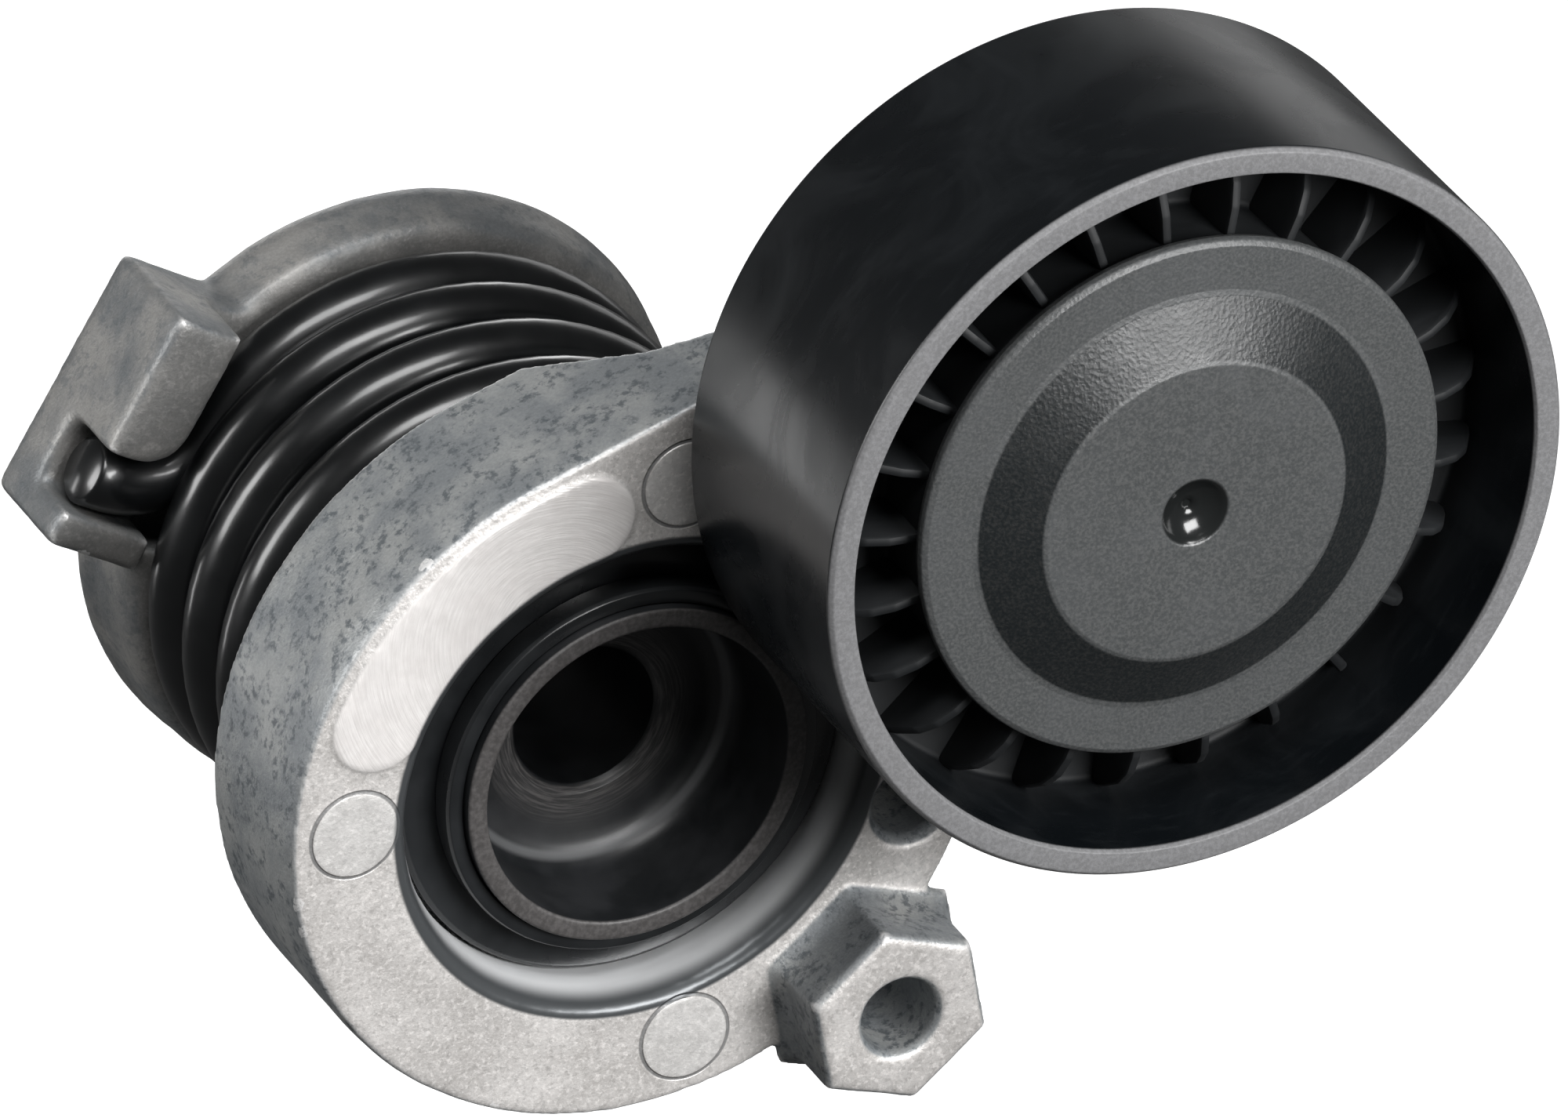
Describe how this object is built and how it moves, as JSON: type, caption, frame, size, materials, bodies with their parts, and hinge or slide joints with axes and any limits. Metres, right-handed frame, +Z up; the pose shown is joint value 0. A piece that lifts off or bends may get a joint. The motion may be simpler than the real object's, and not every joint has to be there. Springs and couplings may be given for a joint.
{
  "type": "belt tensioner",
  "caption": "Spring-loaded belt tensioner: a die-cast arm turns on a hollow pivot shaft against a torsion spring and carries a smooth idler pulley on a ball bearing.",
  "frame": {"origin": "centre of the mounting-bolt hole in the plane of the rear mounting face", "axes": "+Y along the pivot axis to the rear, towards the engine; the front faces -Y; +Z up; +X right"},
  "size_m": [0.1093, 0.0942, 0.1042],
  "materials": {
    "cast_aluminium": "as-cast, fine grained, with bright machined pad",
    "black_steel": "black phosphate, satin",
    "spring_steel": "gloss black coating",
    "plated_steel": "zinc plated",
    "bearing_steel": "ground",
    "bush_plastic": "matt",
    "cage_plastic": "matt",
    "seal_rubber": "matt",
    "pulley_plastic": "satin moulded",
    "cap_plastic": "fine textured"
  },
  "bodies": {
    "base": {"base_housing": "cast_aluminium", "locating_pin": "plated_steel", "pivot_shaft": "black_steel", "retaining_ring": "black_steel", "front_thrust_disc": "black_steel", "front_friction_ring": "bush_plastic", "torsion_spring": "spring_steel"},
    "arm": {"tensioner_arm": "cast_aluminium", "pivot_bush": "bush_plastic", "pulley_bolt": "plated_steel", "rear_dust_shield": "plated_steel", "bearing_inner_ring": "bearing_steel"},
    "pulley": {"pulley": "pulley_plastic", "bearing_outer_ring": "bearing_steel", "bearing_seal_front": "seal_rubber", "bearing_seal_rear": "seal_rubber", "dust_cap": "cap_plastic"},
    "cage": {"bearing_cage": "cage_plastic", "bearing_ball_1": "bearing_steel", "bearing_ball_2": "bearing_steel", "bearing_ball_3": "bearing_steel", "bearing_ball_4": "bearing_steel", "bearing_ball_5": "bearing_steel", "bearing_ball_6": "bearing_steel", "bearing_ball_7": "bearing_steel", "bearing_ball_8": "bearing_steel"}
  },
  "joints": [
    {"name": "arm_pivot", "type": "hinge", "parent": "base", "child": "arm", "pos_m": [0, -0.04, 0], "axis": [0, 1, 0], "range_deg": [0, 50], "stiffness_Nm_per_rad": 22, "springref_deg": -51.57, "deforming": ["torsion_spring"]},
    {"name": "pulley_spin", "type": "hinge", "parent": "arm", "child": "pulley", "pos_m": [0.03832, -0.0764, 0.03273], "axis": [0, 1, 0], "continuous": true},
    {"name": "cage_spin", "type": "hinge", "parent": "arm", "child": "cage", "pos_m": [0.03832, -0.0764, 0.03273], "axis": [0, 1, 0], "continuous": true}
  ],
  "couplings": [
    {"joint": "cage_spin", "follows": "pulley_spin", "ratio": 0.6115}
  ]
}
